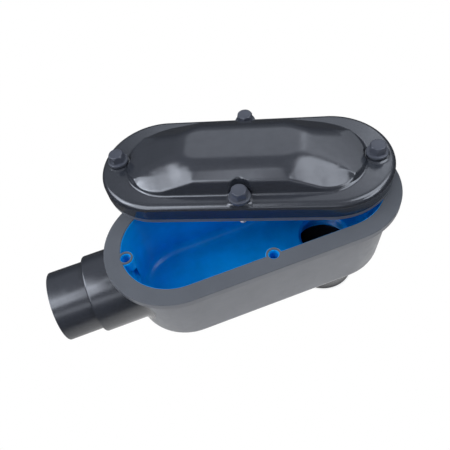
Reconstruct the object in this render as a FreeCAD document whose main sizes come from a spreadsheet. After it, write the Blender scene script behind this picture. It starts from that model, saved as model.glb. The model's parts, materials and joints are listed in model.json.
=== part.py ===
import FreeCAD, Part

import math
import os

import Sketcher

# A coated oval conduit body with one hub at its end and one at its back, and its domed cover,
# swung open about the right-hand cover screw.
#
# Frame: the origin is the centre of the end hub's threaded mouth. +X runs along the oval, away
# from that hub, +Z points out of the oval opening, and -Y is the side the cover is swung from.
# Body pieces are drawn about the middle of the rim face and cover pieces about the middle of
# the gasket's lower face; their placements carry them into this frame.

os.makedirs("parts", exist_ok=True)
doc = FreeCAD.newDocument("conduit_body")
V = FreeCAD.Vector

# ---------------------------------------------------------------- sizes, mm and degrees
SIZES = [
    ("rim_half_length", 109.5, "rim face, centre to end"),
    ("rim_half_width", 50.0, "rim face, centre to side"),
    ("rim_face", 12.5, "width of the flat rim face"),
    ("flange_thick", 5.0, "height of the rim's overhanging band"),
    ("wall_inset", 4.8, "rim edge to wall, at the rim"),
    ("wall_draft", 4.8, "wall lean, from rim to base"),
    ("body_depth", 69.5, "rim face to outside of the base"),
    ("base_round", 10.0, "outside edge of the base"),
    ("floor_thick", 10.0, "casting and coat under the floor"),
    ("cavity_draft", 2.0, "cavity lean, from rim to floor"),
    ("floor_round", 8.0, "inside edge of the floor"),
    ("coat", 1.0, "thickness of the outer coat"),
    ("coat_lip", 0.7, "bare metal left round the coat's edge at the mouth and the taps"),
    ("conduit_radius", 24.13, "outside of the conduit that the hubs take"),
    ("thread_bite", 0.53, "thread root inside the conduit's surface"),
    ("hub_wall", 5.0, "coated hub round the thread root"),
    ("hub_round", 1.6, "coated hub's outer edge"),
    ("hub_below_rim", 0.3, "rim face to the top of the end hub"),
    ("end_hub_out", 15.5, "rim end to the end hub's metal face"),
    ("end_thread_length", 21.0, "end hub thread"),
    ("back_hub_in", 52.0, "rim end to the back hub's axis"),
    ("back_hub_out", 8.6, "base to the back hub's metal face"),
    ("bushing_wall", 5.0, "thread root to the integral bushing"),
    ("bushing_thick", 2.5, "back hub's bushing"),
    ("throat_round", 2.0, "lip of the integral bushing"),
    ("sleeve_fit", 0.17, "sleeve bore round the conduit"),
    ("sleeve_wall", 1.1, "thickness of the sealing sleeve"),
    ("sleeve_length", 26.6, "sleeve beyond the hub's metal face"),
    ("screw_end_in", 15.0, "rim end to an end screw"),
    ("screw_side_in", 12.0, "rim side to a side screw"),
    ("shank_radius", 3.1, "screw shank over the thread"),
    ("shank_run", 0.09, "clearance round the shank in every hole it passes"),
    ("shank_below", 8.0, "shank below the gasket"),
    ("boss_wall", 2.61, "screw boss round its tapped hole"),
    ("boss_depth", 9.0, "screw boss and its tapped hole, below the metal rim"),
    ("cover_end_in", 1.7, "rim end to cover end"),
    ("cover_side_in", 4.5, "rim side to cover side"),
    ("cover_height", 16.0, "rim face to the cover's flat margin"),
    ("cover_shoulder", 4.5, "rounding of the cover's upper edge"),
    ("cover_wall", 3.2, "thickness of the dome"),
    ("gasket_thick", 3.8, "gasket under the cover"),
    ("gasket_inset", 0.4, "gasket edge inside the cover's edge"),
    ("gasket_end_band", 20.8, "cover end to the gasket's opening"),
    ("gasket_side_band", 14.5, "cover side to the gasket's opening"),
    ("margin_end", 19.8, "cover end to the dome's foot"),
    ("margin_side", 11.0, "cover side to the dome's foot"),
    ("dome_side_in", 4.0, "dome side lean, foot to haunch"),
    ("haunch_rise", 10.0, "flat margin to haunch"),
    ("dome_slope_in", 12.5, "haunch to plateau, across"),
    ("dome_rise", 16.0, "flat margin to plateau"),
    ("end_slope_run", 45.0, "plateau's end to the dome's foot, along"),
    ("toe_rise", 1.5, "flat margin to the end slope at the dome's foot"),
    ("seat_height", 0.8, "raised seat above the margin"),
    ("seat_inset", 1.2, "raised seat kept inside the cover's edge"),
    ("seat_lap", 0.7, "raised seat beyond the screw head"),
    ("pocket_gap", 0.5, "recess in the dome beyond the raised seat"),
    ("pocket_wall", 3.1, "thickening behind that recess"),
    ("washer_band", 3.9, "sealing washer beyond the shank"),
    ("washer_thick", 1.2, "sealing washer"),
    ("cap_flange_lap", 0.7, "moulded head's flange beyond the washer"),
    ("cap_flange_thick", 2.0, "round flange of the moulded head"),
    ("cap_floor", 1.0, "moulding under the steel head"),
    ("cap_wall", 1.75, "moulded hexagon's corner beyond the steel head"),
    ("cap_roof", 3.0, "moulding over the steel head"),
    ("cap_round", 0.7, "edges of the moulded head"),
    ("steel_head_lap", 1.5, "steel head beyond the shank"),
    ("steel_head_height", 4.0, "steel head inside the moulding"),
    ("cover_yaw", 23.4, "cover swung about the right screw"),
]
# Sizes that follow from those above.
FITTED = [
    ("cavity_depth", "body_depth - floor_thick", "rim face to the floor"),
    ("thread_radius", "conduit_radius - thread_bite", "threaded bore wall, at the root"),
    ("hub_radius", "thread_radius + hub_wall", "coated hub"),
    ("hub_drop", "hub_radius + hub_below_rim", "rim face down to the end hub's axis"),
    ("hub_reach", "rim_half_length + end_hub_out", "rim centre to the end hub's metal face"),
    ("back_hub_x", "rim_half_length - back_hub_in", "rim centre to the back hub's axis"),
    ("back_hub_reach", "body_depth + back_hub_out", "rim face to the back hub's metal face"),
    ("back_thread_length", "back_hub_out + floor_thick - bushing_thick", "back hub thread"),
    ("throat_radius", "thread_radius - bushing_wall", "integral bushing"),
    ("sleeve_bore", "conduit_radius + sleeve_fit", "inside of the sealing sleeve"),
    ("sleeve_radius", "sleeve_bore + sleeve_wall", "outside of the sealing sleeve"),
    ("screw_x", "rim_half_length - screw_end_in", "end screws, from the centre"),
    ("screw_y", "rim_half_width - screw_side_in", "side screws, from the centre"),
    ("boss_radius", "shank_radius + shank_run + boss_wall", "screw boss in the casting"),
    ("cover_half_length", "rim_half_length - cover_end_in", "cover, centre to end"),
    ("cover_half_width", "rim_half_width - cover_side_in", "cover, centre to side"),
    ("gasket_half_length", "cover_half_length - gasket_end_band", "gasket opening"),
    ("gasket_half_width", "cover_half_width - gasket_side_band", "gasket opening"),
    ("dome_half_length", "cover_half_length - margin_end", "dome foot, centre to end"),
    ("dome_half_width", "cover_half_width - margin_side", "dome foot, centre to side"),
    ("dome_haunch", "cover_height + haunch_rise", "height of the haunch"),
    ("dome_height", "cover_height + dome_rise", "height of the plateau"),
    ("dome_toe", "cover_height + toe_rise", "height of the end slope at the foot"),
    ("plateau_half_length", "dome_half_length - end_slope_run", "plateau, centre to end"),
    ("washer_radius", "shank_radius + washer_band", "sealing washer"),
    ("cap_flange_radius", "washer_radius + cap_flange_lap", "moulded head's flange"),
    ("seat_radius", "cap_flange_radius + seat_lap", "raised seat under a screw head"),
    ("pocket_radius", "seat_radius + pocket_gap", "recess in the dome beside a head"),
    ("inner_boss_radius", "pocket_radius + pocket_wall", "thickening behind that recess"),
    ("steel_head_radius", "shank_radius + steel_head_lap", "steel head"),
    ("cap_hex_corner", "steel_head_radius + cap_wall", "moulded hexagon, centre to corner"),
    ("cap_height", "cap_floor + steel_head_height + cap_roof", "moulded head"),
]
sheet = doc.addObject("Spreadsheet::Sheet", "Dims")
for row, (name, value, note) in enumerate(SIZES + FITTED, start=1):
    sheet.set("A%d" % row, name)
    sheet.set("B%d" % row, "=" + value if isinstance(value, str) else repr(value))
    sheet.set("C%d" % row, note)
    sheet.setAlias("B%d" % row, name)
scratch = doc.addObject("Spreadsheet::Sheet", "Scratch")
doc.recompute()
ALIASES = sorted((row[0] for row in SIZES + FITTED), key=len, reverse=True)


def bound(text):
    """An expression with every size name pointed at its cell."""
    out, i = "", 0
    while i < len(text):
        for name in ALIASES:
            if text.startswith(name, i):
                out += "Dims." + name
                i += len(name)
                break
        else:
            out += text[i]
            i += 1
    return out


def bind(obj, **props):
    """Ties properties of an object to the sheet."""
    for prop, text in props.items():
        obj.setExpression(prop.replace("__", "."), bound(text))
    return obj


def place(obj, x="0", y="0", z="0"):
    """Ties an object's position to the sheet."""
    for axis, text in (("x", x), ("y", y), ("z", z)):
        if text != "0":
            obj.setExpression("Placement.Base." + axis, bound(text))
    return obj


def cylinder(name, radius, height, x="0", y="0", z="0", axis=None):
    """A cylinder from a start point, along +Z unless an axis is given."""
    cyl = doc.addObject("Part::Cylinder", name)
    if axis is not None:
        cyl.Placement = FreeCAD.Placement(V(), FreeCAD.Rotation(V(0, 0, 1), V(*axis)))
    bind(cyl, Radius=radius, Height=height)
    return place(cyl, x, y, z)


def union(name, shapes):
    fuse = doc.addObject("Part::MultiFuse", name)
    fuse.Shapes = shapes
    fuse.Refine = True
    return fuse


def minus(name, base, tools):
    """Base less every tool."""
    tool = tools[0] if len(tools) == 1 else union(name + "_tools", tools)
    cut = doc.addObject("Part::Cut", name)
    cut.Base, cut.Tool = base, tool
    cut.Refine = True
    return cut


def common(name, one, other):
    meet = doc.addObject("Part::Common", name)
    meet.Base, meet.Tool = one, other
    return meet


# ---------------------------------------------------------------- sketches
def origin_plane(body, role):
    return next(f for f in body.Origin.OriginFeatures if f.Role == role)


def polygon_sketch(body, name, role, points, axis_at=None):
    """A closed polygon whose every corner is held by two sheet expressions."""
    sk = body.newObject("Sketcher::SketchObject", name)
    sk.AttachmentSupport = (origin_plane(body, role), "")
    sk.MapMode = "FlatFace"
    at = [(sheet_value(x), sheet_value(y)) for x, y in points]
    for i, (x, y) in enumerate(at):
        x2, y2 = at[(i + 1) % len(at)]
        sk.addGeometry(Part.LineSegment(V(x, y, 0), V(x2, y2, 0)), False)
    for i in range(len(at)):
        sk.addConstraint(Sketcher.Constraint("Coincident", i, 2, (i + 1) % len(at), 1))
    for i, (ex, ey) in enumerate(points):
        for kind, k, text in (("DistanceX", 0, ex), ("DistanceY", 1, ey)):
            n = sk.addConstraint(Sketcher.Constraint(kind, -1, 1, i, 1, at[i][k]))
            sk.setExpression("Constraints[%d]" % n, bound(text))
    if axis_at is not None:
        x = sheet_value(axis_at)
        g = sk.addGeometry(Part.LineSegment(V(x, -10, 0), V(x, 10, 0)), True)
        sk.addConstraint(Sketcher.Constraint("Vertical", g))
        n = sk.addConstraint(Sketcher.Constraint("DistanceX", -1, 1, g, 1, x))
        sk.setExpression("Constraints[%d]" % n, bound(axis_at))
        sk.addConstraint(Sketcher.Constraint("DistanceY", -1, 1, g, 1, -10))
        sk.addConstraint(Sketcher.Constraint("DistanceY", -1, 1, g, 2, 10))
    return sk


def sheet_value(text):
    """The value of a sheet expression, worked out on the scratch sheet."""
    scratch.set("A1", "=" + bound(text))
    scratch.recompute()
    value = scratch.get("A1")
    return float(getattr(value, "Value", value))


def edges_where(shape, test):
    """Names of the edges whose every sampled point passes the test."""
    names = []
    for i, edge in enumerate(shape.Edges, start=1):
        a, b = edge.ParameterRange
        if all(test(edge.valueAt(a + (b - a) * k / 6.0)) for k in range(7)):
            names.append("Edge%d" % i)
    return names


def fillet(body, name, base, radius, test):
    """Rounds the edges that pass the test, with a sheet radius."""
    doc.recompute()
    names = edges_where(base.Shape, test)
    if not names:
        raise RuntimeError("no edge found for " + name)
    fil = body.newObject("PartDesign::Fillet", name)
    fil.Base = (base, names)
    bind(fil, Radius=radius)
    body.Tip = fil
    doc.recompute()
    return fil


def oval(name, half_centres, profile):
    """An oval solid: one profile, turned at both ends and run straight between them.

    The profile gives (distance from the middle line, height) corners, from the top on the
    middle line round to the bottom on the middle line."""
    body = doc.addObject("PartDesign::Body", name)
    full = profile + [("-(%s)" % r, z) for r, z in reversed(profile)
                      if sheet_value(r) != 0]
    run = polygon_sketch(body, name + "_section", "YZ_Plane", full)
    pad = body.newObject("PartDesign::Pad", name + "_straight")
    pad.Profile = run
    pad.Midplane = True
    bind(pad, Length="2 * (%s)" % half_centres)
    body.Tip = pad
    doc.recompute()
    for side, sign in (("right", ""), ("left", "-")):
        centre = "%s(%s)" % (sign, half_centres)
        pts = [("%s + (%s)" % (centre, r), z) for r, z in profile]
        sk = polygon_sketch(body, "%s_%s" % (name, side), "XZ_Plane", pts, centre)
        rev = body.newObject("PartDesign::Revolution", "%s_turn_%s" % (name, side))
        rev.Profile = sk
        rev.ReferenceAxis = (sk, ["Axis0"])
        rev.Angle = 360.0
        body.Tip = rev
        doc.recompute()
    return body


def near(value, target, tol=0.02):
    return abs(value - target) < tol


def turned(name, points):
    """A shape turned about its own vertical axis."""
    body = doc.addObject("PartDesign::Body", name)
    sk = polygon_sketch(body, name + "_section", "XZ_Plane", points)
    rev = body.newObject("PartDesign::Revolution", name + "_turn")
    rev.Profile = sk
    rev.ReferenceAxis = (sk, ["V_Axis"])
    rev.Angle = 360.0
    body.Tip = rev
    doc.recompute()
    return body


def lay(obj, axis, x="0", z="0"):
    """Turns a shape's own +Z to an axis and ties its position to the sheet."""
    obj.Placement = FreeCAD.Placement(V(), FreeCAD.Rotation(V(0, 0, 1), V(*axis)))
    return place(obj, x=x, z=z)


# ---------------------------------------------------------------- body outlines
RIM_C = "rim_half_length - rim_half_width"
LEAN = "wall_draft / body_depth"


def outline(name, off):
    """The whole outside of the body, less `off` all round: walls, rim band and both hubs."""
    w = "rim_half_width - wall_inset"
    low = "-body_depth + %s" % off
    band = "-flange_thick + %s" % off
    prof = [("0", "-(%s)" % off),
            ("rim_half_width - %s" % off, "-(%s)" % off),
            ("rim_half_width - %s" % off, band),
            ("%s - %s - (flange_thick - %s) * %s" % (w, off, off, LEAN), band),
            ("%s - %s - (body_depth - %s) * %s" % (w, off, off, LEAN), low),
            ("0", low)]
    walls = oval(name + "_walls", RIM_C, prof)
    depth = sheet_value(low)
    fillet(walls, name + "_base_round", walls.Tip, "base_round - %s" % off,
           lambda p: near(p.z, depth))
    hubs = []
    for side, depth, axis, x, z in (
            ("_end_hub", "hub_reach + coat - %s - rim_half_length + rim_face + 4" % off,
             (1, 0, 0), "-(hub_reach + coat - %s)" % off, "-hub_drop"),
            ("_back_hub", "back_hub_reach + coat - %s - cavity_depth" % off,
             (0, 0, 1), "back_hub_x", "-(back_hub_reach + coat - %s)" % off)):
        hub = turned(name + side, [("0", "0"), ("hub_radius - %s" % off, "0"),
                                   ("hub_radius - %s" % off, depth), ("0", depth)])
        fillet(hub, name + side + "_round", hub.Tip, "hub_round - %s" % off,
               lambda p: near(p.z, 0) and math.hypot(p.x, p.y) > 1)
        hubs.append(lay(hub, axis, x, z))
    return [walls] + hubs


metal = outline("metal", "coat")
outer = outline("outer", "0")

# cavity, open at the rim
cavity = oval("cavity", RIM_C, [
    ("0", "2"),
    ("rim_half_width - rim_face", "2"),
    ("rim_half_width - rim_face", "-coat"),
    ("rim_half_width - rim_face - cavity_draft", "-cavity_depth"),
    ("0", "-cavity_depth")])
floor_z = -sheet_value("cavity_depth")
fillet(cavity, "cavity_floor_round", cavity.Tip, "floor_round", lambda p: near(p.z, floor_z))

# ---------------------------------------------------------------- hubs' bores
SCREWS = [("left", "-screw_x", "0"), ("near", "0", "-screw_y"),
          ("right", "screw_x", "0"), ("far", "0", "screw_y")]


def hub_bore(name, thread, depth, x, z, axis):
    """Thread and rounded throat, from a hub's metal face inwards to `depth`."""
    wide = "throat_radius + throat_round"
    body = turned(name, [
        ("0", "-1"), ("thread_radius", "-1"), ("thread_radius", thread),
        ("throat_radius", thread), ("throat_radius", "%s - throat_round" % depth),
        (wide, depth), (wide, "%s + 3" % depth), ("0", "%s + 3" % depth)])
    return lay(body, axis, x, z)


end_bore = hub_bore("end_bore", "end_thread_length",
                    "(hub_reach - (rim_half_length - rim_face) + cavity_draft * 0.4)",
                    x="-hub_reach", z="-hub_drop", axis=(1, 0, 0))
back_bore = hub_bore("back_bore", "back_thread_length", "(back_hub_reach - cavity_depth)",
                     x="back_hub_x", z="-back_hub_reach", axis=(0, 0, 1))

# ---------------------------------------------------------------- casting
bosses = [cylinder("boss_" + n, "boss_radius", "boss_depth", x=x, y=y,
                   z="-coat - boss_depth") for n, x, y in SCREWS]
taps = [cylinder("tap_" + n, "shank_radius + shank_run", "boss_depth + 5", x=x, y=y,
                 z="-coat - boss_depth") for n, x, y in SCREWS]
blank = union("casting_blank", metal)
trough = minus("casting_trough", blank, [cavity])
bossed = union("casting_bossed", [trough] + bosses)
casting = minus("casting", bossed, taps + [end_bore, back_bore])
casting.Label = "body_casting"

# ---------------------------------------------------------------- coat
metal_solid = union("metal_solid", metal)
coat_bores = [cylinder("end_coat_bore", "sleeve_bore", "coat + 5", x="-hub_reach",
                       z="-hub_drop", axis=(-1, 0, 0)),
              cylinder("back_coat_bore", "sleeve_bore", "coat + 5", x="back_hub_x",
                       z="-back_hub_reach", axis=(0, 0, -1))]
coat_holes = [cylinder("coat_hole_" + n, "shank_radius + shank_run + coat_lip", "coat + 4",
                       x=x, y=y, z="-coat - 1") for n, x, y in SCREWS]
mouth = oval("mouth", RIM_C, [
    ("0", "coat"), ("rim_half_width - rim_face + coat_lip", "coat"),
    ("rim_half_width - rim_face + coat_lip", "-2 * coat"), ("0", "-2 * coat")])
boss_tops = [cylinder("boss_top_" + n, "boss_radius - coat_lip", "5 * coat", x=x, y=y,
                      z="-3 * coat") for n, x, y in SCREWS]
coat_mouth = minus("coat_mouth", mouth, boss_tops)
coat_blank = union("coat_blank", outer)
jacket = minus("jacket", coat_blank, [metal_solid, coat_mouth] + coat_bores + coat_holes)
jacket.Label = "pvc_jacket"

# ---------------------------------------------------------------- sealing sleeves
sleeves = []
for name, axis, x, z in (("end_sleeve", (-1, 0, 0), "-coat", "0"),
                         ("back_sleeve", (0, 0, -1), "hub_reach + back_hub_x",
                          "hub_drop - back_hub_reach - coat")):
    length = "sleeve_length - coat"
    sleeve = turned(name + "_tube", [("sleeve_bore", "0"), ("sleeve_radius", "0"),
                                     ("sleeve_radius", length), ("sleeve_bore", length)])
    sleeve.Label = name
    sleeves.append(lay(sleeve, axis, x, z))

# ---------------------------------------------------------------- cover
COVER_C = "cover_half_length - cover_half_width"
DOME_C = "dome_half_length - dome_half_width"
margin = oval("margin", COVER_C, [
    ("0", "cover_height"), ("cover_half_width", "cover_height"),
    ("cover_half_width", "gasket_thick"), ("0", "gasket_thick")])
top_z = sheet_value("cover_height")
fillet(margin, "margin_shoulder", margin.Tip, "cover_shoulder", lambda p: near(p.z, top_z))


def dome(name, off, foot):
    """The dome's outside, less `off`, down to `foot`: an oval with steep sides and a haunch,
    cut by two ends that slope down from the plateau."""
    half = "dome_half_width - %s" % off
    round_part = oval(name + "_oval", DOME_C, [
        ("0", "dome_height - %s" % off),
        ("%s - dome_side_in - dome_slope_in" % half, "dome_height - %s" % off),
        ("%s - dome_side_in" % half, "dome_haunch - %s" % off),
        (half, "cover_height - %s" % off),
        (half, foot),
        ("0", foot)])
    body = doc.addObject("PartDesign::Body", name + "_ends")
    reach = "dome_half_length - %s" % off
    right = [("plateau_half_length", "dome_height + 5 - %s" % off),
             ("plateau_half_length", "dome_height - %s" % off),
             (reach, "dome_toe - %s" % off), (reach, "gasket_thick - 2")]
    pts = right + [("-(%s)" % x, z) for x, z in reversed(right)]
    sk = polygon_sketch(body, name + "_ends_section", "XZ_Plane", pts)
    pad = body.newObject("PartDesign::Pad", name + "_ends_pad")
    pad.Profile = sk
    pad.Midplane = True
    bind(pad, Length="2 * cover_half_width + 10")
    body.Tip = pad
    doc.recompute()
    return common(name, round_part, body)


dome_out = dome("dome", "0", "gasket_thick")
dome_in = dome("hollow", "cover_wall", "gasket_thick - 1")
seats = [cylinder("seat_" + n, "seat_radius", "cover_height + seat_height - gasket_thick",
                  x=x, y=y, z="gasket_thick") for n, x, y in SCREWS]
seat_limit = oval("seat_limit", COVER_C, [
    ("0", "dome_height"), ("cover_half_width - seat_inset", "dome_height"),
    ("cover_half_width - seat_inset", "0"), ("0", "0")])
seat_rings = common("seat_rings", union("seats", seats), seat_limit)
cover_blank = union("cover_blank", [margin, dome_out, seat_rings])
cover_shell = minus("cover_shell", cover_blank, [dome_in])
backs = [cylinder("back_" + n, "inner_boss_radius", "dome_haunch - gasket_thick", x=x, y=y,
                  z="gasket_thick") for n, x, y in SCREWS]
backing = common("backing", union("backs", backs), dome_out)
cover_backed = union("cover_backed", [cover_shell, backing])
pockets = [cylinder("pocket_" + n, "pocket_radius", "dome_height + 5 - cover_height",
                    x=x, y=y, z="cover_height + seat_height") for n, x, y in SCREWS]
cover_holes = [cylinder("cover_hole_" + n, "shank_radius + shank_run", "dome_height + 5",
                        x=x, y=y, z="-2") for n, x, y in SCREWS]
cover = minus("cover_cast", cover_backed, pockets + cover_holes)
cover.Label = "cover"

# ---------------------------------------------------------------- gasket
gasket_blank = oval("gasket_blank", COVER_C, [
    ("0", "gasket_thick"), ("cover_half_width - gasket_inset", "gasket_thick"),
    ("cover_half_width - gasket_inset", "0"), ("0", "0")])
gasket_open = oval("gasket_open", "gasket_half_length - gasket_half_width", [
    ("0", "gasket_thick + 1"), ("gasket_half_width", "gasket_thick + 1"),
    ("gasket_half_width", "-1"), ("0", "-1")])
gasket_holes = [cylinder("gasket_hole_" + n, "shank_radius + shank_run", "gasket_thick + 4",
                         x=x, y=y, z="-2") for n, x, y in SCREWS]
gasket = minus("gasket", gasket_blank, [gasket_open] + gasket_holes)
gasket.Label = "cover_gasket"

# ---------------------------------------------------------------- screws
SEAT = "cover_height + seat_height"


def hexagon_head(name):
    """Moulded head: a round flange under a hexagon, hollow over the steel head."""
    body = turned(name, [
        ("0", "0"), ("cap_flange_radius", "0"), ("cap_flange_radius", "cap_flange_thick"),
        ("0", "cap_flange_thick")])
    sk = body.newObject("Sketcher::SketchObject", name + "_hexagon")
    sk.AttachmentSupport = (origin_plane(body, "XY_Plane"), "")
    sk.MapMode = "FlatFace"
    r = sheet_value("cap_hex_corner")
    pts = [V(r * math.cos(math.radians(60 * k)), r * math.sin(math.radians(60 * k)), 0)
           for k in range(6)]
    for k in range(6):
        sk.addGeometry(Part.LineSegment(pts[k], pts[(k + 1) % 6]), False)
    ring = sk.addGeometry(Part.Circle(V(0, 0, 0), V(0, 0, 1), r), True)
    for k in range(6):
        sk.addConstraint(Sketcher.Constraint("Coincident", k, 2, (k + 1) % 6, 1))
        sk.addConstraint(Sketcher.Constraint("PointOnObject", k, 1, ring))
    for k in range(1, 6):
        sk.addConstraint(Sketcher.Constraint("Equal", 0, k))
    sk.addConstraint(Sketcher.Constraint("Coincident", ring, 3, -1, 1))
    sk.addConstraint(Sketcher.Constraint("PointOnObject", 0, 1, -1))
    n = sk.addConstraint(Sketcher.Constraint("Radius", ring, r))
    sk.setExpression("Constraints[%d]" % n, bound("cap_hex_corner"))
    pad = body.newObject("PartDesign::Pad", name + "_hex_pad")
    pad.Profile = sk
    bind(pad, Length="cap_height")
    body.Tip = pad
    top = sheet_value("cap_height")
    lip = sheet_value("cap_flange_thick")
    reach = sheet_value("cap_flange_radius")
    fillet(body, name + "_rounds", pad, "cap_round",
           lambda p: near(p.z, top) or (near(p.z, lip) and near(math.hypot(p.x, p.y), reach)))
    doc.recompute()
    return body


def onto_cover(obj, x, y, z):
    """Carries a piece from its own frame to its screw hole in the swung cover."""
    turn = "cover_yaw * 1 deg"
    obj.Placement = FreeCAD.Placement(V(), FreeCAD.Rotation(V(0, 0, -1), 20.0))
    obj.setExpression("Placement.Rotation.Angle", bound(turn))
    place(obj,
          x="hub_reach + screw_x + (%s - screw_x) * cos(%s) + (%s) * sin(%s)" % (x, turn, y, turn),
          y="-(%s - screw_x) * sin(%s) + (%s) * cos(%s)" % (x, turn, y, turn),
          z="hub_drop + %s" % z)
    return obj


pieces = []
for side, x, y in SCREWS:
    washer = turned("washer_" + side, [
        ("shank_radius + shank_run", "0"), ("washer_radius", "0"),
        ("washer_radius", "washer_thick"), ("shank_radius + shank_run", "washer_thick")])
    washer.Label = "sealing_washer_" + side
    onto_cover(washer, x, y, SEAT)

    screw = turned("screw_" + side, [
        ("0", "-(%s) - shank_below" % SEAT), ("shank_radius - 0.8", "-(%s) - shank_below" % SEAT),
        ("shank_radius", "-(%s) - shank_below + 0.8" % SEAT), ("shank_radius", "washer_thick + cap_floor"),
        ("steel_head_radius", "washer_thick + cap_floor"),
        ("steel_head_radius", "washer_thick + cap_floor + steel_head_height"),
        ("0", "washer_thick + cap_floor + steel_head_height")])
    screw.Label = "cover_screw_" + side
    onto_cover(screw, x, y, SEAT)

    head = hexagon_head("moulding_" + side)
    room = turned("room_" + side, [
        ("0", "-1"), ("shank_radius", "-1"), ("shank_radius", "cap_floor"),
        ("steel_head_radius", "cap_floor"),
        ("steel_head_radius", "cap_floor + steel_head_height"),
        ("0", "cap_floor + steel_head_height")])
    cap = minus("cap_" + side, head, [room])
    cap.Label = "screw_head_" + side
    onto_cover(cap, x, y, SEAT + " + washer_thick")
    pieces += [washer, screw, cap]

for piece in (casting, jacket):
    place(piece, x="hub_reach", z="hub_drop")
for piece in (cover, gasket):
    onto_cover(piece, "0", "0", "0")
doc.recompute()

# ---------------------------------------------------------------- checks and export
NODES = [casting, jacket] + sleeves + [cover, gasket] + pieces
for obj in doc.Objects:
    bad = [flag for flag in obj.State if flag in ("Invalid", "Error")]
    if bad:
        raise RuntimeError("%s is %s" % (obj.Name, bad))
for obj in NODES:
    shape = obj.Shape
    if shape.isNull() or not shape.isValid() or len(shape.Solids) != 1:
        raise RuntimeError("%s: null, invalid or %d solids" % (obj.Label, len(shape.Solids)))
for obj in NODES:
    obj.Shape.exportStep("parts/%s.step" % obj.Label)
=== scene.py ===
import json
import math
from contextlib import contextmanager

import bmesh
import bpy
import numpy as np
from mathutils import Matrix, Vector


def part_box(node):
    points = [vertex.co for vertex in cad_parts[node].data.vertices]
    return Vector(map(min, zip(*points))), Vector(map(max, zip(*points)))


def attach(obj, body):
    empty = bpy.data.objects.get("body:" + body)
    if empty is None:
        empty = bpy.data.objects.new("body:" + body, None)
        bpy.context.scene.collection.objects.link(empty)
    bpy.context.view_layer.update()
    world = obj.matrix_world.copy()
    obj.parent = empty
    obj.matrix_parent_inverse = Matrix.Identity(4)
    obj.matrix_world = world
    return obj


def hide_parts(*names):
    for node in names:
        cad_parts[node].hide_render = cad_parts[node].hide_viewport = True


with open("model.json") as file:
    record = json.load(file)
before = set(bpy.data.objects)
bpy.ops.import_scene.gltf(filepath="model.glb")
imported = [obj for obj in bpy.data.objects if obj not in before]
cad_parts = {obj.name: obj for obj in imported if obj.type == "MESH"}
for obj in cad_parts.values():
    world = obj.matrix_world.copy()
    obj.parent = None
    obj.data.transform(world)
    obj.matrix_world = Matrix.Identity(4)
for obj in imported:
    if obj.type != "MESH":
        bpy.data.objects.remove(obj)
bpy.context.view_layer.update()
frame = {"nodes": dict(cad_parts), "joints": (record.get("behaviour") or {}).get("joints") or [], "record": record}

scene = bpy.context.scene
nodes = frame["nodes"]
record = frame["record"]
joints = {joint["name"]: joint for joint in frame["joints"]}
mounts = {mount["name"]: mount for mount in record["mounts"]}
bodies = {name: body for body, group in record["behaviour"]["bodies"].items() for name in group}

# ---------------------------------------------------------------- sizes
# Sizes are in mm and heights are from the rim's face. An oval is (half straight run, radius).
MM = 0.001
IN_MM = Matrix.Diagonal((MM, MM, MM, 1.0))
SIDES = ("left", "near", "right", "far")
SCREW_ALONG, SCREW_ACROSS = 94.5, 38.0
RIM_CENTRE = Vector(joints["cover_swing"]["pos_m"]) - Vector((SCREW_ALONG * MM, 0.0, 0.0))
JOIN = 0.004                                             # points nearer than this are one

# Body: its rim's oval, the band under it, its depth, and the wall's outer radius at both ends
RIM, RIM_BAND, RIM_ROUND = (59.5, 50.0), 5.0, 0.7
DEPTH, WALL_TOP, WALL_FOOT = 69.5, 45.2, 40.4
# Hubs: outer radius, the sleeve's bore, the rounded mouth and the blend into the body
HUB, SEAL, ROUND, BLEND = 28.6, 24.4, 1.6, 3.2
SKIN = 0.03                                              # how far the hub's skin stands proud
HUB_DROP = RIM_CENTRE.z / MM
THREAD_PITCH, THREAD_DEPTH = 25.4 / 11.5, 1.25
SLEEVE_ROUND = 0.25

# Cover: its lower edge, its margin, the margin's rounded shoulder and the dome's thickness
LOW, TOP, SHOULDER, THICK = 3.8, 16.0, 4.5, 3.2
OUTER, FOOT = (62.3, 45.5), (53.5, 34.5)                 # the cover's edge and the dome's foot
# Plateau: height and half length, then the slope of its ends and of the wall at the dome's foot
PLATEAU, PLATEAU_RUN, END_FALL, STEEP = 32.0, 43.0, 0.322, 2.5
CREASE_BLUR, EDGE_BLUR, CROWN_BLUR = 1.0, 0.25, 6.5      # how far the creases are rounded
HOLES = ((-SCREW_ALONG, 0.0), (SCREW_ALONG, 0.0), (0.0, -SCREW_ACROSS), (0.0, SCREW_ACROSS))
SEAT_RISE, SEAT, POCKET, BOSS = 0.8, 8.9, 8.1, 12.0      # a screw's seat and the radii round it
# Half width of the crown, and height of the slope's foot, by distance along the cover
CROWN = ((0, 18.2), (33, 18.2), (38.0, 16.8), (43.0, 13.6), (48.0, 12.2), (52.5, 12.8),
         (58.0, 14.4), (67, 17), (74, 20), (80.5, 24.4), (90, 33))
HAUNCH = ((0, 26.0), (33, 26.0), (35, 25.2), (49, 21.5), (55, 19.8), (63, 18.5), (71, 17.8),
          (88, 17.5))

# Screws: thread, radius and length under the rim's face
PITCH, GROOVE, SHANK, BELOW = 1.27, 0.55, 3.1, 8.0
WASHER_T = 1.2
HEAD_Z = TOP + SEAT_RISE + WASHER_T
# Heads: radius at the corners, the flange's radius and thickness, height, the steel core inside
CORNER, FLANGE, FLANGE_T, HEAD_H, CORE = 6.35, 7.7, 2.0, 8.0, 4.6


# ---------------------------------------------------------------- materials
def node(tree, kind, **values):
    """A node with its properties and unlinked inputs set."""
    new = tree.nodes.new(kind)
    for key, value in values.items():
        if key in new.inputs:
            new.inputs[key].default_value = value
        else:
            setattr(new, key, value)
    return new


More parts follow.
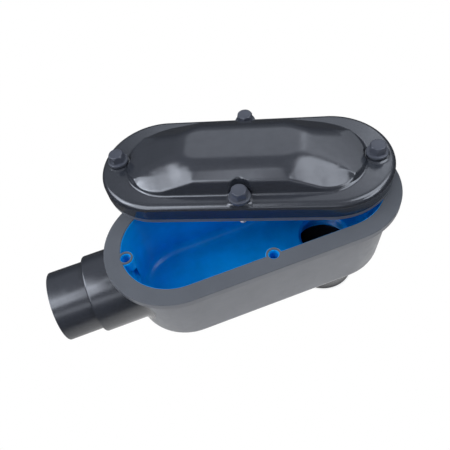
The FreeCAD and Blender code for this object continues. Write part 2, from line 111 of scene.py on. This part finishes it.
def noise(tree, coords, scale, detail=3.0):
    """The value of a noise texture in the piece's own coordinates."""
    tex = node(tree, "ShaderNodeTexNoise", Scale=scale, Detail=detail)
    tree.links.new(coords, tex.inputs["Vector"])
    return tex.outputs["Fac"]


def ranged(tree, value, low, high, at_low, at_high):
    """Maps a value from one range to another, held at both ends."""
    limits = {"From Min": low, "From Max": high, "To Min": at_low, "To Max": at_high}
    made = node(tree, "ShaderNodeMapRange", **limits)
    tree.links.new(value, made.inputs["Value"])
    return made.outputs["Result"]


def maths(tree, operation, one, other):
    """Two values put together by a maths operation."""
    made = node(tree, "ShaderNodeMath", operation=operation)
    tree.links.new(one, made.inputs[0])
    tree.links.new(other, made.inputs[1])
    return made.outputs["Value"]


def mixed(tree, factor, one, other):
    """One shader where the factor is 0, the other where it is 1."""
    mix = node(tree, "ShaderNodeMixShader")
    tree.links.new(factor, mix.inputs["Fac"])
    tree.links.new(one, mix.inputs[1])
    tree.links.new(other, mix.inputs[2])
    return mix.outputs["Shader"]


BLOTCH, GRAIN, UNEVEN = 60.0, 900.0, 0.04                # two noise scales, spread of the gloss
NOISE_LOW, NOISE_HIGH = 0.3, 0.7                         # where most noise values lie


def finish_material(name, colour, rough, vary=0.07, grain_depth=0.02, shader=()):
    """A procedural finish: faint blotches of colour, uneven gloss and a fine surface grain."""
    mat = bpy.data.materials.new(name)
    mat.use_nodes = True
    tree = mat.node_tree
    bsdf = tree.nodes["Principled BSDF"]
    coords = node(tree, "ShaderNodeTexCoord").outputs["Object"]
    shades = node(tree, "ShaderNodeValToRGB")
    ends = ((NOISE_LOW, 1 - vary), (NOISE_HIGH, 1 + vary))
    for element, (place, k) in zip(shades.color_ramp.elements, ends):
        element.position = place
        element.color = tuple(min(1.0, c * k) for c in colour) + (1.0,)
    tree.links.new(noise(tree, coords, BLOTCH), shades.inputs["Fac"])
    tree.links.new(shades.outputs["Color"], bsdf.inputs["Base Color"])
    gloss = ranged(tree, noise(tree, coords, BLOTCH * 3.1), NOISE_LOW, NOISE_HIGH,
                   rough - UNEVEN, rough + UNEVEN)
    tree.links.new(gloss, bsdf.inputs["Roughness"])
    bump = node(tree, "ShaderNodeBump", Strength=0.6, Distance=grain_depth * MM)
    tree.links.new(noise(tree, coords, GRAIN, 2.0), bump.inputs["Height"])
    tree.links.new(bump.outputs["Normal"], bsdf.inputs["Normal"])
    for key, value in dict(shader).items():
        bsdf.inputs[key].default_value = value
    return mat


WAXY = {"IOR": 1.6}
GLOSS = {"IOR": 1.6, "Specular IOR Level": 1.0}
mats = {
    # The walls and the rim face are one PVC coat. The wall copy is made lighter as painted light, where the walls
    # catch the front light. The rim face copy is made darker as painted shade. The rim's matte roughness is its
    # own.
    "grey_pvc": finish_material("grey_pvc", (0.142, 0.145, 0.156), 0.32, grain_depth=0.006,
                                shader=WAXY),
    "rim_pvc_painted_shade": finish_material("rim_pvc_painted_shade", (0.104, 0.110, 0.119), 0.62, vary=0.05,
                               grain_depth=0.03),
    "sleeve_pvc": finish_material("sleeve_pvc", (0.030, 0.033, 0.040), 0.21, shader=GLOSS),
    "cover_pvc": finish_material("cover_pvc", (0.027, 0.030, 0.037), 0.21, grain_depth=0.004,
                                 shader=GLOSS),
    "head": finish_material("head", (0.070, 0.075, 0.092), 0.34, grain_depth=0.03, shader=WAXY),
    "blue": finish_material("blue", (0.000, 0.34, 0.84), 0.22, vary=0.10, grain_depth=0.04,
                            shader={"IOR": 1.5}),
    "gasket": finish_material("gasket", (0.16, 0.167, 0.18), 0.35),
    "rubber": finish_material("rubber", (0.030, 0.031, 0.034), 0.5),
    "steel": finish_material("steel", (0.55, 0.55, 0.56), 0.3, shader={"Metallic": 1.0}),
}


def paint(obj, *names):
    """Gives an object its finishes, in the order of its material slots."""
    obj.data.materials.clear()
    for name in names:
        obj.data.materials.append(mats[name])


# ---------------------------------------------------------------- mesh helpers
@contextmanager
def edited(mesh):
    """The mesh as a bmesh with its doubled points joined, written back at the end."""
    bm = bmesh.new()
    bm.from_mesh(mesh)
    bmesh.ops.remove_doubles(bm, verts=bm.verts, dist=JOIN * MM)
    yield bm
    bm.to_mesh(mesh)
    bm.free()


def bend(edge):
    """The angle at which an edge's two faces meet, or 0 on an open edge."""
    return edge.calc_face_angle(0.0) if len(edge.link_faces) == 2 else 0.0


def soften(mesh, angle=32.0):
    """Smooth shading with sharp edges where the faces meet at more than the angle."""
    with edited(mesh) as bm:
        bmesh.ops.recalc_face_normals(bm, faces=bm.faces)
        for face in bm.faces:
            face.smooth = True
        for edge in bm.edges:
            edge.smooth = len(edge.link_faces) == 2 and bend(edge) < math.radians(angle)


def piece(name, verts, faces, place, like, finish):
    """A mesh piece from points in mm, with one finish, on the body of a node that it is like."""
    mesh = bpy.data.meshes.new(name)
    mesh.from_pydata([tuple(v) for v in verts], [], faces)
    obj = bpy.data.objects.new(name, mesh)
    scene.collection.objects.link(obj)
    mesh.transform(place)
    soften(mesh)
    paint(obj, finish)
    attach(obj, bodies[like])
    return obj


def bake(obj):
    """Replaces an object's mesh with what its modifiers make of it."""
    bpy.context.view_layer.update()
    made = bpy.data.meshes.new_from_object(
        obj.evaluated_get(bpy.context.evaluated_depsgraph_get()))
    obj.modifiers.clear()
    obj.data = made


def dress(name, *finishes, bevel=0.0, which=None):
    """A copy of a node with joined corners, rounded edges and its own finish."""
    mesh = nodes[name].data.copy()
    mesh.name = name + "_look"
    with edited(mesh) as bm:
        if bevel:
            bmesh.ops.dissolve_limit(bm, angle_limit=math.radians(0.6), verts=bm.verts,
                                     edges=bm.edges)
            sharp = [e for e in bm.edges if bend(e) > 0.9 and (which is None or which(e))]
            bmesh.ops.bevel(bm, geom=sharp, offset=bevel * MM, segments=3, profile=0.5,
                            affect="EDGES", clamp_overlap=False)
    obj = bpy.data.objects.new(name + "_look", mesh)
    scene.collection.objects.link(obj)
    soften(mesh)
    mod = obj.modifiers.new("normals", "WEIGHTED_NORMAL")
    mod.keep_sharp = True
    mod.weight = 80
    bake(obj)
    paint(obj, *finishes)
    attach(obj, bodies[name])
    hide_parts(name)
    return obj


def grid_faces(rows, cols):
    """Quads between rows of points, each row closed on itself."""
    return [(i * cols + j, i * cols + (j + 1) % cols,
             (i + 1) * cols + (j + 1) % cols, (i + 1) * cols + j)
            for i in range(rows - 1) for j in range(cols)]


def lathe(rows, around):
    """Points of stacked rings, each (radius or function of the angle, height)."""
    verts = []
    for radius, z in rows:
        for j in range(around):
            a = 2 * math.pi * j / around
            r = radius(a) if callable(radius) else radius
            verts.append((r * math.cos(a), r * math.sin(a), z))
    return verts


def ridge(turns, steep, sunk):
    """Height of a thread's profile at a number of turns: 0 in the root, 1 on the crest."""
    return min(1.0, max(0.0, steep * (1 - abs(2 * (turns % 1.0) - 1)) - sunk))


def inset(x, y, oval):
    """Distance inwards from an oval's edge."""
    return oval[1] - np.hypot(np.maximum(np.abs(x) - oval[0], 0.0), y)


# ---------------------------------------------------------------- body
def rim_edge(edge):
    """True for the outer edge of the body's rim face."""
    for vert in edge.verts:
        x, y, z = (vert.co - RIM_CENTRE) / MM
        if abs(z) > 0.02 or abs(inset(x, y, RIM)) > 0.05:
            return False
    return True


def build_coat():
    """The coat in three finishes: wall, rim face and hubs. The wall's lighter colour and the rim face's darker
    colour are painted light and painted shade on one coat.
    """
    jacket = dress("pvc_jacket", "grey_pvc", "rim_pvc_painted_shade", "sleeve_pvc", bevel=RIM_ROUND,
                   which=rim_edge)
    for poly in jacket.data.polygons:
        x, _, z = (poly.center - RIM_CENTRE) / MM
        # Faces turned up on the rim take the darker copy of the coat, a painted shade. The other wall faces take
        # the lighter copy, a painted light.
        on_rim = poly.normal.z > 0.5 and z > -0.6
        on_hub = x < -sum(RIM) or z < -DEPTH - 0.1
        poly.material_index = 1 if on_rim else 2 if on_hub else 0
    for name in ("end_sleeve", "back_sleeve"):
        dress(name, "sleeve_pvc", bevel=SLEEVE_ROUND)


def end_foot(a, r):
    """Where the end hub's barrel meets the body's wall, or None where there is no blend."""
    y, z = r * math.sin(a), r * math.cos(a) - HUB_DROP
    if r > HUB and z > -RIM_BAND - 0.2:
        return None
    radius = RIM[1] if z > -RIM_BAND else WALL_TOP + z * (WALL_TOP - WALL_FOOT) / DEPTH
    return -RIM[0] - math.sqrt(max(radius ** 2 - y ** 2, 0.0))


def back_foot(a, r):
    """Where the back hub's barrel meets the body's flat back."""
    return -DEPTH


def hub_skin(name, mouth, foot, place):
    """The coat over a hub: mouth, rounded edge, barrel and the blend into the body."""
    around, arc, blend = 144, 6, 9
    lines = []
    for j in range(around):
        a = 2 * math.pi * (j + 0.5) / around
        line = [(SEAL, -mouth - SKIN), (HUB - ROUND - 0.6, -mouth - SKIN)]
        for t in np.linspace(0.0, math.pi / 2, arc):
            line.append((HUB + SKIN - ROUND * (1 - math.sin(t)),
                         ROUND * (1 - math.cos(t)) - mouth - SKIN))
        corner, grown = foot(a, HUB), foot(a, HUB + BLEND)
        for t in np.linspace(0.0, 1.0, blend):
            if grown is None:
                line.append((HUB + SKIN, corner + (t - 1) * BLEND + 0.3))
            else:
                line.append((HUB + SKIN + BLEND * t * t, (corner - BLEND) * (1 - t) ** 2
                             + corner * 2 * t * (1 - t) + grown * t * t - SKIN))
        lines.append([(r * math.cos(a), r * math.sin(a), x) for r, x in line])
    verts = [point for row in zip(*lines) for point in row]
    piece(name, verts, grid_faces(len(lines[0]), around), place @ IN_MM, "pvc_jacket",
          "sleeve_pvc")


def hub_thread(mount):
    """A helical thread on the inside of a hub, running in from its mouth."""
    around, per_turn = 96, 8
    length = mount["dims"]["length_mm"] - 0.6
    root = mount["dims"]["r_mm"] - 0.06
    rows = int(length / THREAD_PITCH * per_turn) + 1
    verts = []
    for z in np.linspace(0.0, length, rows):
        fade = min(1.0, z / THREAD_PITCH, (length - z) / THREAD_PITCH)
        for j in range(around):
            r = root - THREAD_DEPTH * fade * ridge(z / THREAD_PITCH - j / around, 1.25, 0.12)
            a = 2 * math.pi * j / around
            verts.append((r * math.cos(a), r * math.sin(a), z))
    inwards = -Vector(mount["axis"])
    place = Matrix.Translation(mount["pos_m"]) @ inwards.to_track_quat("Z", "Y").to_matrix().to_4x4()
    piece(mount["name"] + "_thread", verts, grid_faces(rows, around), place @ IN_MM,
          "body_casting", "blue")


dress("body_casting", "blue")
build_coat()
hub_mouths = (RIM_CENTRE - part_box("pvc_jacket")[0]) / MM
end_axis = Matrix(((0, 0, 1, 0), (0, 1, 0, 0), (1, 0, 0, 0), (0, 0, 0, 1)))
back_x = mounts["back_hub"]["pos_m"][0]
hub_skin("end_hub_skin", hub_mouths.x, end_foot,
         Matrix.Translation((RIM_CENTRE.x, 0, 0)) @ end_axis)
hub_skin("back_hub_skin", hub_mouths.z, back_foot, Matrix.Translation((back_x, 0, RIM_CENTRE.z)))
hub_thread(mounts["end_hub"])
hub_thread(mounts["back_hub"])


# ---------------------------------------------------------------- cover
def spot(side):
    """Where a screw's axis meets the rim's face."""
    return Vector(joints["screw_%s_turn" % side]["pos_m"])


def cover_place():
    """The cover's own frame: middle of its screws, +X to the right one, in mm."""
    long_way = (spot("right") - spot("left")).normalized()
    wide_way = Vector((-long_way.y, long_way.x, 0.0))
    turned = Matrix((long_way, wide_way, Vector((0, 0, 1)))).transposed().to_4x4()
    return Matrix.Translation((spot("left") + spot("right")) / 2) @ turned @ IN_MM


def ramp(value, low, width):
    """0 below a value, 1 above it and its width, straight between."""
    return np.clip((value - low) / width, 0.0, 1.0)


def outline(points, u):
    """A value read from an outline's points by distance along the cover."""
    return np.interp(u, [p[0] for p in points], [p[1] for p in points])


def margin_height(edge):
    """Height of the cover's flat margin, with its round shoulder at the outer edge."""
    short = SHOULDER - np.clip(edge, 0.0, SHOULDER)
    return TOP - SHOULDER + np.sqrt(SHOULDER ** 2 - short ** 2)


def dome_height(u, v):
    """Height of the cover's top: margin, steep wall, slopes and crown."""
    along, across = np.abs(u), np.abs(v)
    crown_z = PLATEAU - END_FALL * np.maximum(along - PLATEAU_RUN, 0.0)
    haunch_z = np.minimum(outline(HAUNCH, along), crown_z)
    crown_v = outline(CROWN, along)
    haunch_r = FOOT[1] - (haunch_z - TOP) / STEEP
    haunch_v = np.sqrt(np.maximum(haunch_r ** 2 - np.maximum(along - FOOT[0], 0) ** 2, 0.01))
    down = ramp(across, crown_v, np.maximum(haunch_v - crown_v, 0.5))
    top = crown_z + (haunch_z - crown_z) * down
    into = inset(u, v, FOOT)
    return np.where(into > 0, np.minimum(top, TOP + into * STEEP),
                    margin_height(inset(u, v, OUTER)))


def soft_height(u, v, blur=CREASE_BLUR):
    """The same height with its creases rounded, the seats raised and the pockets cleared."""
    reach = blur + (CROWN_BLUR - blur) * ramp(inset(u, v, FOOT), 5.5, 7.0)
    total, count = np.zeros_like(u), 0
    for radius, many in ((0.0, 1), (0.35, 6), (0.7, 10), (1.0, 14)):
        for k in range(many):
            a = 2 * math.pi * (k + 0.5 * radius) / many
            du, dv = reach * radius * math.cos(a), reach * radius * math.sin(a)
            inside = inset(u + du, v + dv, OUTER) > 0.05
            total += dome_height(np.where(inside, u + du, u), np.where(inside, v + dv, v))
            count += 1
    z = total / count
    edge = inset(u, v, OUTER)
    for hole_u, hole_v in HOLES:
        r = np.hypot(u - hole_u, v - hole_v)
        shut = ramp(r, POCKET, 1.2)
        shut = shut * shut * (3 - 2 * shut)
        z = z * shut + np.minimum(z, margin_height(edge)) * (1 - shut)
        z = z + (TOP + SEAT_RISE - z) * ramp(SEAT - r, 0.0, 0.9) * ramp(edge, 1.2, 0.9)
    return z


def ring(oval, run=96, turn=112):
    """Points round an oval as (along, across) arrays, starting on the near straight run."""
    s = np.linspace(-1, 1, run, endpoint=False)
    a = np.linspace(-math.pi / 2, math.pi / 2, turn, endpoint=False)
    u = np.concatenate([s * oval[0], oval[0] + oval[1] * np.cos(a),
                        -s * oval[0], -oval[0] - oval[1] * np.cos(a)])
    v = np.concatenate([np.full(run, -oval[1]), oval[1] * np.sin(a),
                        np.full(run, oval[1]), -oval[1] * np.sin(a)])
    return u, v


def between(p, q, t):
    """Points a share of the way from one ring to another."""
    return p[0] + (q[0] - p[0]) * t, p[1] + (q[1] - p[1]) * t


def build_cover():
    """The hollow cover as one closed surface of rings, from its crown down and back up inside."""
    spine, foot = ring((FOOT[0], 0.0)), ring(FOOT)
    hollow_foot = ring((FOOT[0], FOOT[1] - THICK))
    steps = list(np.linspace(0.0, 0.84, 38)) + list(np.linspace(0.853, 1.0, 16))
    rows = []

    def level(points, z):
        rows.append((points[0], points[1], np.full_like(points[0], z)))

    for t in steps:
        points = between(spine, foot, t)
        rows.append((*points, soft_height(*points)))
    shoulder_in = ring((OUTER[0], OUTER[1] - SHOULDER))
    for t in np.linspace(0.08, 1.0, 14):
        points = between(foot, shoulder_in, t)
        rows.append((*points, soft_height(*points)))
    for k in range(1, 11):
        points = ring((OUTER[0], OUTER[1] - SHOULDER * (1 - math.sin(math.pi * k / 20))))
        rows.append((*points, soft_height(*points, EDGE_BLUR)))
    for z in (TOP - SHOULDER - 0.5, LOW + 0.6, LOW + 0.15):
        level(ring(OUTER), z)
    level(ring((OUTER[0], OUTER[1] - 0.5)), LOW)
    level(hollow_foot, LOW)
    for t in reversed(steps):
        u, v = between(spine, hollow_foot, t)
        z = soft_height(*between(spine, foot, t)) - THICK
        for hole_u, hole_v in HOLES:
            z = LOW + (z - LOW) * ramp(np.hypot(u - hole_u, v - hole_v), BOSS, 2.0)
        rows.append((u, v, z))
    verts = [point for row in rows for point in zip(*row)]
    cover = piece("cover_look", verts, grid_faces(len(rows), len(foot[0])), cover_place(),
                  "cover", "cover_pvc")
    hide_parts("cover")


build_cover()
dress("cover_gasket", "gasket", bevel=0.3)


# ---------------------------------------------------------------- screws
def threaded(z):
    """Radius at each angle of a right-handed thread at one height, tapered at its tip."""
    tip = max(0.0, 1.0 - (z + BELOW) / 0.9)

    def radius(a):
        crest = ridge(z / PITCH - a / (2 * math.pi), 1.3, 0.15)
        return SHANK - GROOVE * (1 - crest) - GROOVE * tip * crest
    return radius


def hexagon(corner, round_to):
    """Radius at each angle of a hexagon whose corners are cut by a circle."""
    def radius(a):
        flat = corner * math.cos(math.pi / 6) / math.cos((a % (math.pi / 3)) - math.pi / 6)
        return min(flat, round_to)
    return radius


def head_rows():
    """The moulded head's outline: flange, its rounded edge, the hexagon and its domed top."""
    side, cut, bend_z = CORNER - 0.14, CORNER - 0.24, 6.2
    rows = [(CORE + 0.1, 0.0), (FLANGE - 0.25, 0.0), (FLANGE, 0.3), (FLANGE, FLANGE_T - 0.75),
            (FLANGE - 0.2, FLANGE_T - 0.3), (FLANGE - 0.65, FLANGE_T - 0.05)]
    rows += [(hexagon(CORNER, CORNER - 0.08), FLANGE_T + 0.05),
             (hexagon(CORNER - 0.12, CORNER - 0.22), FLANGE_T + 0.35)]
    rows += [(hexagon(side, cut), z) for z in (3.6, 5.0, bend_z)]
    for t in (0.2, 0.4, 0.6, 0.8, 1.0):
        rows.append((hexagon(side - 0.15 * t, cut - 0.95 * t),
                     bend_z + (HEAD_H - bend_z - 0.25) * t))
    rows += [(hexagon(CORNER - 0.5, CORNER - 1.5), HEAD_H - 0.06), (CORNER - 1.9, HEAD_H),
             (0.0, HEAD_H)]
    return rows


def build_screw(side):
    """A screw with its threaded shank, its head and the washer under it."""
    at = Matrix.Translation(spot(side))
    rows = [(0.0, -BELOW)]
    rows += [(threaded(z), z) for z in np.arange(-BELOW, HEAD_Z + 0.5, PITCH / 7)]
    rows += [(CORE, HEAD_Z + 1.0), (CORE, HEAD_Z + 5.0), (0.0, HEAD_Z + 5.0)]
    around = 28
    shank = piece("cover_screw_%s_look" % side, lathe(rows, around),
                  grid_faces(len(rows), around), at @ IN_MM, "cover_screw_" + side, "steel")
    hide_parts("cover_screw_" + side)
    rows = head_rows()
    around = 96
    lift = Matrix.Translation((0, 0, HEAD_Z * MM))
    head = piece("screw_head_%s_look" % side, lathe(rows, around),
                 grid_faces(len(rows), around), at @ lift @ IN_MM, "screw_head_" + side, "head")
    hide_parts("screw_head_" + side)
    dress("sealing_washer_" + side, "rubber", bevel=0.2)


for side in SIDES:
    build_screw(side)

# ---------------------------------------------------------------- floor, world and light
FLOOR_Z = min(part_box("back_sleeve")[0].z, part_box("end_sleeve")[0].z)
BORE_FOOT = (back_x, 0.0, FLOOR_Z)                       # the floor under the back hub's bore
GLOW_MID = (RIM_CENTRE.x, -0.06, FLOOR_Z)
WHITE = (1.0, 1.0, 1.0, 1.0)


def build_floor():
    """A pale floor."""
    bpy.ops.mesh.primitive_plane_add(size=12.0, location=(RIM_CENTRE.x, 0, FLOOR_Z))
    floor = bpy.context.object
    floor.name = "floor"
    mat = bpy.data.materials.new("floor")
    mat.use_nodes = True
    bsdf = mat.node_tree.nodes["Principled BSDF"]
    bsdf.inputs["Base Color"].default_value = (0.9, 0.9, 0.9, 1)
    bsdf.inputs["Roughness"].default_value = 0.9
    light_floor(mat.node_tree, bsdf.outputs["BSDF"])
    floor.data.materials.append(mat)


def light_floor(tree, lit):
    """White to the camera but for the back hub's foot, and bright in reflections only nearby."""
    path = node(tree, "ShaderNodeLightPath")
    position = node(tree, "ShaderNodeNewGeometry").outputs["Position"]

    def away(centre):
        far = node(tree, "ShaderNodeVectorMath", operation="DISTANCE")
        far.inputs[1].default_value = centre
        tree.links.new(position, far.inputs[0])
        return far.outputs["Value"]

    from_bore = away(BORE_FOOT)
    bright = maths(tree, "MULTIPLY", ranged(tree, away(GLOW_MID), 0.09, 0.25, 1.0, 0.06),
                   ranged(tree, from_bore, 0.024, 0.030, 0.0, 1.0))
    nearby = node(tree, "ShaderNodeEmission", Color=WHITE)
    tree.links.new(bright, nearby.inputs["Strength"])
    seen = maths(tree, "MULTIPLY", path.outputs["Is Camera Ray"],
                 ranged(tree, from_bore, 0.022, 0.027, 0.0, 1.0))
    white = node(tree, "ShaderNodeEmission", Color=WHITE, Strength=1.0)
    surface = mixed(tree, path.outputs["Is Glossy Ray"], lit, nearby.outputs["Emission"])
    surface = mixed(tree, seen, surface, white.outputs["Emission"])
    tree.links.new(surface, tree.nodes["Material Output"].inputs["Surface"])


def build_world():
    """White to the camera, and a soft sky that is brighter higher up."""
    world = bpy.data.worlds.new("studio")
    scene.world = world
    world.use_nodes = True
    tree = world.node_tree
    tree.nodes.clear()
    path = node(tree, "ShaderNodeLightPath")
    seen = maths(tree, "MAXIMUM", path.outputs["Is Camera Ray"],
                 path.outputs["Is Transmission Ray"])
    split = node(tree, "ShaderNodeSeparateXYZ")
    tree.links.new(node(tree, "ShaderNodeTexCoord").outputs["Generated"], split.inputs[0])
    sky = node(tree, "ShaderNodeBackground", Color=(0.90, 0.95, 1.05, 1))
    tree.links.new(ranged(tree, split.outputs["Z"], 0.05, 0.50, 0.05, 0.26),
                   sky.inputs["Strength"])
    white = node(tree, "ShaderNodeBackground", Color=WHITE, Strength=1.0)
    surface = mixed(tree, seen, sky.outputs[0], white.outputs[0])
    tree.links.new(surface, node(tree, "ShaderNodeOutputWorld").inputs["Surface"])


# Each lamp: name, place from the rim's centre and size in metres, radiance
LAMPS = (
    ("left_box", (-0.80, -0.22, 0.85), (1.10, 0.95), 2.3),
    ("left_wing_box", (-1.10, 0.42, 0.82), (0.8, 0.7), 3.0),
    ("left_soft_box", (-0.36, -0.20, 1.20), (0.18, 0.80), 1.2),
    ("right_box", (0.80, -0.22, 0.95), (0.74, 0.95), 2.2),
    ("back_box", (0.40, 0.95, 0.90), (1.0, 0.5), 0.56),
    ("fan_box", (0.95, 0.62, 0.90), (0.7, 0.5), 0.80),
    ("front_box", (1.25, -1.15, 0.85), (0.8, 0.6), 3.0),
    ("front_left_box", (-0.6, -1.25, 0.75), (1.1, 0.35), 0.7),
)


def softbox(name, place, size, radiance):
    """A rectangular lamp aimed at the body, with its strength given as a radiance."""
    lamp = bpy.data.lights.new(name, "AREA")
    lamp.shape = "RECTANGLE"
    lamp.size, lamp.size_y = size
    lamp.color = (0.88, 0.94, 1.06)
    lamp.energy = radiance * math.pi * size[0] * size[1]
    obj = bpy.data.objects.new(name, lamp)
    scene.collection.objects.link(obj)
    obj.location = RIM_CENTRE + Vector(place)
    obj.rotation_euler = (-Vector(place)).to_track_quat("-Z", "Y").to_euler()


build_floor()
build_world()
for lamp_values in LAMPS:
    softbox(*lamp_values)

# ---------------------------------------------------------------- camera
AZIMUTH, ELEVATION, ROLL = (math.radians(a) for a in (-9.631, 52.584, -11.756))
LENS = 37.6812
DISTANCE, ASIDE, ABOVE = 0.33395, -0.0199, -0.00875      # metres from the rim's centre


def build_camera():
    """The camera, looking down on the uncovered side."""
    back = Vector((math.sin(AZIMUTH) * math.cos(ELEVATION),
                   -math.cos(AZIMUTH) * math.cos(ELEVATION), math.sin(ELEVATION)))
    level = Vector((math.cos(AZIMUTH), math.sin(AZIMUTH), 0.0))
    upright = back.cross(level)
    right = math.cos(ROLL) * level + math.sin(ROLL) * upright
    up = math.cos(ROLL) * upright - math.sin(ROLL) * level
    lens = bpy.data.cameras.new("camera")
    lens.sensor_width = 36.0
    lens.lens = LENS
    lens.clip_start = 0.01
    camera = bpy.data.objects.new("camera", lens)
    scene.collection.objects.link(camera)
    camera.matrix_world = Matrix.Translation(
        RIM_CENTRE + back * DISTANCE + right * ASIDE + up * ABOVE
    ) @ Matrix((right, up, back)).transposed().to_4x4()
    scene.camera = camera


build_camera()
scene.view_settings.view_transform = "Standard"
